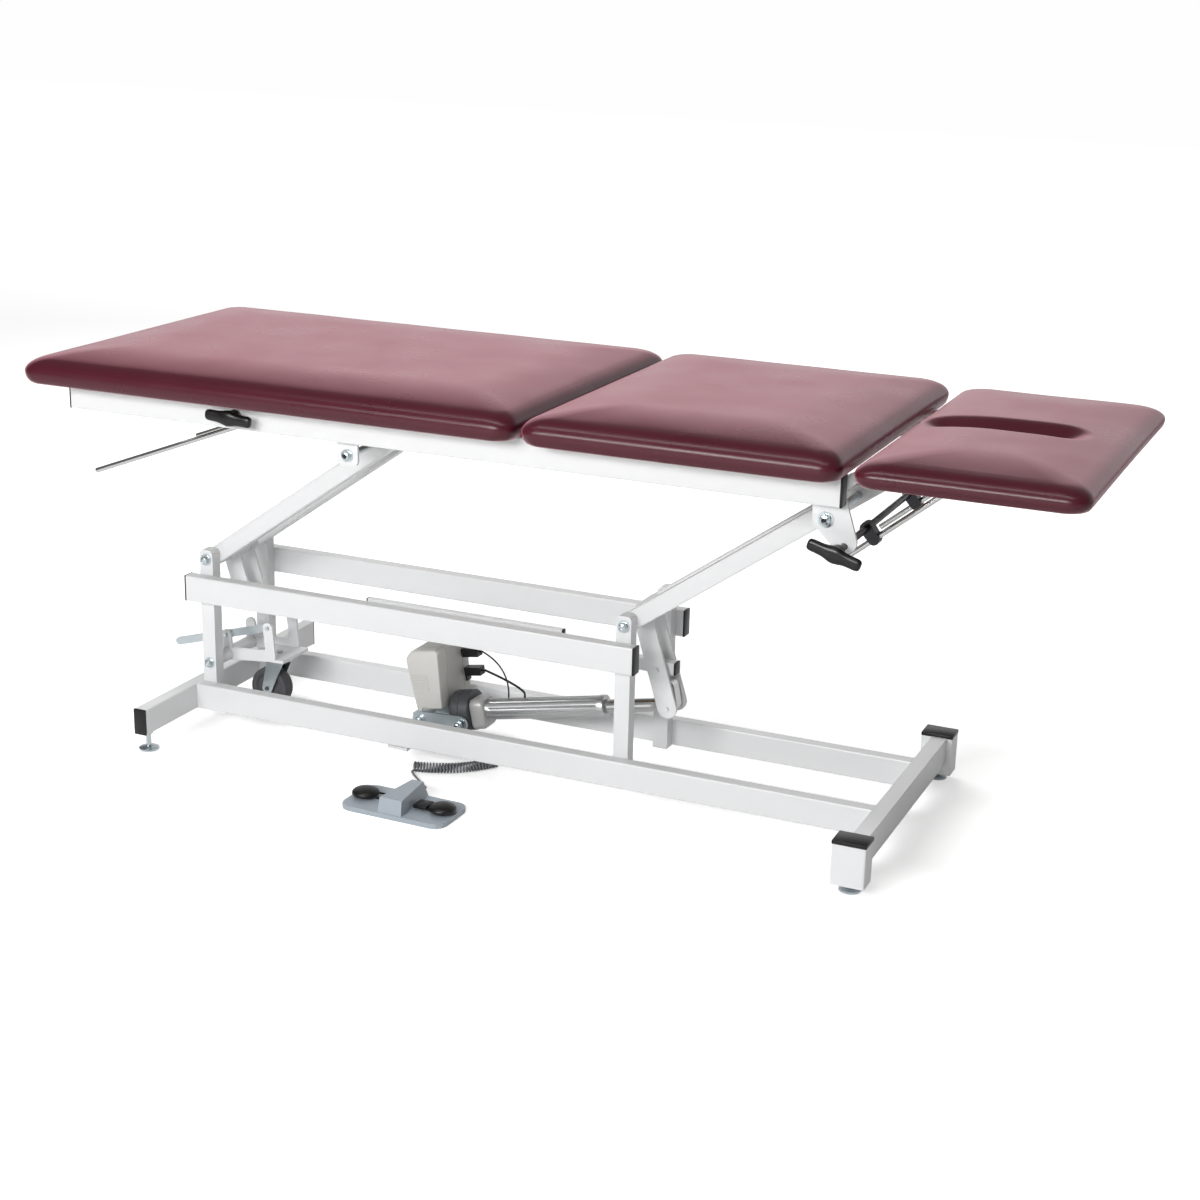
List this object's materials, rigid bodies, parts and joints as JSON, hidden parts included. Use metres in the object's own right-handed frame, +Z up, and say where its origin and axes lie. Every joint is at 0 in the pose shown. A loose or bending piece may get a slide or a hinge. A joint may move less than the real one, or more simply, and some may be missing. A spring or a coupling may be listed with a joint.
{
  "type": "treatment table",
  "caption": "Electric hi-lo treatment table with a long tilting section, a fixed middle and a head section with a face slot, on a parallel-arm steel lift with a foot control.",
  "frame": {"origin": "centre of the bounding box in plan, on the floor", "axes": "+X along the table from the foot end to the head end, +Y to the far long side, +Z up"},
  "size_m": [1.91, 0.7066, 0.7482],
  "materials": {
    "frame_paint": "satin off-white powder coat",
    "zinc_plate": "zinc plated",
    "dark_steel": "blackened steel, oiled",
    "chrome_rod": "polished",
    "burgundy_vinyl": "soft vinyl with a low sheen",
    "plywood": "plain board",
    "black_plastic": "moulded, fine grain",
    "grey_plastic": "moulded, warm light grey",
    "pedal_plastic": "moulded, blue-grey",
    "cord_jacket": "grey jacket",
    "fluted_aluminium": "anodised extrusion",
    "tyre_rubber": "grey tread"
  },
  "bodies": {
    "base": {"lower_rail_front": "frame_paint", "lower_rail_rear": "frame_paint", "upper_rail_front": "frame_paint", "upper_rail_rear": "frame_paint", "left_post_front": "frame_paint", "left_post_rear": "frame_paint", "right_post_front": "frame_paint", "right_post_rear": "frame_paint", "left_cross_beam": "frame_paint", "right_foot_frame": "frame_paint", "left_pivot_shaft": "zinc_plate", "right_pivot_shaft": "zinc_plate", "caster_shaft": "zinc_plate", "actuator_cross_plate": "frame_paint", "actuator_bracket": "zinc_plate", "control_box": "grey_plastic", "control_box_bar": "frame_paint", "pedal_base": "pedal_plastic", "actuator_motor": "grey_plastic", "actuator_tube": "fluted_aluminium", "pedal_cord": "cord_jacket", "motor_cable": "black_plastic", "sensor_cable": "black_plastic"},
    "foot_left_front_unit": {"foot_left_front": "zinc_plate"},
    "foot_left_rear_unit": {"foot_left_rear": "zinc_plate"},
    "foot_right_front_unit": {"foot_right_front": "zinc_plate"},
    "foot_right_rear_unit": {"foot_right_rear": "zinc_plate"},
    "right_arm": {"right_arm_front": "frame_paint", "right_arm_rear": "frame_paint", "right_torque_tube": "frame_paint"},
    "left_arm": {"left_arm_front": "frame_paint", "left_arm_rear": "frame_paint", "left_torque_tube": "frame_paint"},
    "tie": {"tie_tube": "frame_paint"},
    "rod": {"actuator_rod": "chrome_rod"},
    "top_frame": {"top_rail_front": "frame_paint", "top_rail_rear": "frame_paint", "top_cross_tube_left": "frame_paint", "top_cross_tube_right": "frame_paint", "upper_left_shaft": "zinc_plate", "upper_right_shaft": "zinc_plate", "head_hinge_pin": "zinc_plate", "mid_cushion": "burgundy_vinyl", "mid_board": "plywood"},
    "long_section": {"long_cushion": "burgundy_vinyl", "long_board": "plywood"},
    "long_rods": {"long_support": "chrome_rod"},
    "long_clamp_unit": {"long_clamp": "dark_steel"},
    "long_handle_unit": {"long_clamp_handle": "black_plastic"},
    "head_section": {"head_cushion": "burgundy_vinyl", "head_board": "plywood"},
    "head_rods": {"head_support": "chrome_rod"},
    "head_clamp_unit": {"head_clamp": "dark_steel"},
    "head_handle_unit": {"head_clamp_handle": "black_plastic"},
    "caster_arm": {"caster_lever": "frame_paint", "caster_pedal": "zinc_plate"},
    "caster_swivel_unit": {"caster_fork": "zinc_plate"},
    "caster_wheel_unit": {"caster_wheel": "tyre_rubber"},
    "left_button": {"pedal_button_left": "black_plastic"},
    "right_button": {"pedal_button_right": "black_plastic"}
  },
  "joints": [
    {"name": "lift", "type": "hinge", "parent": "base", "child": "right_arm", "pos_m": [0.1349, 0.01035, 0.3306], "axis": [0, -1, 0], "range_deg": [-34, 30]},
    {"name": "top_level", "type": "hinge", "parent": "right_arm", "child": "top_frame", "pos_m": [0.5339, 0.01035, 0.61227], "axis": [0, -1, 0], "range_deg": [-30.5, 34.5]},
    {"name": "left_lift", "type": "hinge", "parent": "base", "child": "left_arm", "pos_m": [-0.7286, 0.01035, 0.3306], "axis": [0, -1, 0], "range_deg": [-34.5, 30.5]},
    {"name": "tie_level", "type": "hinge", "parent": "right_arm", "child": "tie", "pos_m": [0.16682, 0.01035, 0.22995], "axis": [0, -1, 0], "range_deg": [-30.5, 34.5]},
    {"name": "rod_slide", "type": "slide", "parent": "base", "child": "rod", "axis": [0.981, 0, 0.1942], "range_m": [-0.104, 0.092]},
    {"name": "long_tilt", "type": "hinge", "parent": "top_frame", "child": "long_section", "pos_m": [0.028, 0.01035, 0.714], "axis": [0, 1, 0], "range_deg": [0, 75]},
    {"name": "long_rods_turn", "type": "hinge", "parent": "long_section", "child": "long_rods", "pos_m": [-0.01, 0.01035, 0.65], "axis": [0, 1, 0], "range_deg": [-88, 1]},
    {"name": "long_clamp_turn", "type": "hinge", "parent": "top_frame", "child": "long_clamp_unit", "pos_m": [-0.5368, 0.01035, 0.6643], "axis": [0, 1, 0], "range_deg": [-12, 1]},
    {"name": "long_handle_turn", "type": "hinge", "parent": "long_clamp_unit", "child": "long_handle_unit", "pos_m": [-0.5368, -0.28465, 0.6643], "axis": [0, 1, 0], "range_deg": [-28, 20]},
    {"name": "head_tilt", "type": "hinge", "parent": "top_frame", "child": "head_section", "pos_m": [0.584, 0.01035, 0.69], "axis": [0, -1, 0], "range_deg": [-30, 40]},
    {"name": "head_rods_turn", "type": "hinge", "parent": "head_section", "child": "head_rods", "pos_m": [0.72724, 0.01035, 0.67565], "axis": [0, -1, 0], "range_deg": [-20, 15]},
    {"name": "head_clamp_turn", "type": "hinge", "parent": "top_frame", "child": "head_clamp_unit", "pos_m": [0.566, 0.01035, 0.572], "axis": [0, -1, 0], "range_deg": [-17, 22.5]},
    {"name": "head_handle_turn", "type": "hinge", "parent": "head_clamp_unit", "child": "head_handle_unit", "pos_m": [0.566, -0.28465, 0.572], "axis": [0, 1, 0], "range_deg": [-60, 60]},
    {"name": "caster_lower", "type": "hinge", "parent": "base", "child": "caster_arm", "pos_m": [-0.7286, 0.01035, 0.1234], "axis": [0, 1, 0], "range_deg": [0, 12]},
    {"name": "caster_swivel", "type": "hinge", "parent": "caster_arm", "child": "caster_swivel_unit", "pos_m": [-0.638, 0.01035, 0.117], "axis": [0, 0, 1], "continuous": true},
    {"name": "caster_roll", "type": "hinge", "parent": "caster_swivel_unit", "child": "caster_wheel_unit", "pos_m": [-0.657, 0.01035, 0.054], "axis": [0, 1, 0], "continuous": true},
    {"name": "left_button_press", "type": "slide", "parent": "base", "child": "left_button", "axis": [0, 0, -1], "range_m": [0, 0.002], "stiffness_N_per_m": 1500, "springref_m": -0.001},
    {"name": "right_button_press", "type": "slide", "parent": "base", "child": "right_button", "axis": [0, 0, -1], "range_m": [0, 0.002], "stiffness_N_per_m": 1500, "springref_m": -0.001},
    {"name": "foot_left_front_screw", "type": "hinge", "parent": "base", "child": "foot_left_front_unit", "pos_m": [-0.7561, -0.26395, 0], "axis": [0, 0, 1], "continuous": true},
    {"name": "foot_left_rear_screw", "type": "hinge", "parent": "base", "child": "foot_left_rear_unit", "pos_m": [-0.7561, 0.28465, 0], "axis": [0, 0, 1], "continuous": true},
    {"name": "foot_right_front_screw", "type": "hinge", "parent": "base", "child": "foot_right_front_unit", "pos_m": [0.61625, -0.26035, 0], "axis": [0, 0, 1], "continuous": true},
    {"name": "foot_right_rear_screw", "type": "hinge", "parent": "base", "child": "foot_right_rear_unit", "pos_m": [0.61625, 0.28105, 0], "axis": [0, 0, 1], "continuous": true}
  ],
  "couplings": [
    {"joint": "top_level", "follows": "lift", "ratio": -1},
    {"joint": "left_lift", "follows": "lift", "ratio": 1},
    {"joint": "tie_level", "follows": "lift", "ratio": -1},
    {"joint": "rod_slide", "follows": "lift", "m_per_rad": 0.17},
    {"joint": "long_rods_turn", "follows": "long_tilt", "ratio": -1.147},
    {"joint": "long_clamp_turn", "follows": "long_tilt", "ratio": -0.147},
    {"joint": "head_rods_turn", "follows": "head_tilt", "ratio": -0.465},
    {"joint": "head_clamp_turn", "follows": "head_tilt", "ratio": 0.535}
  ]
}
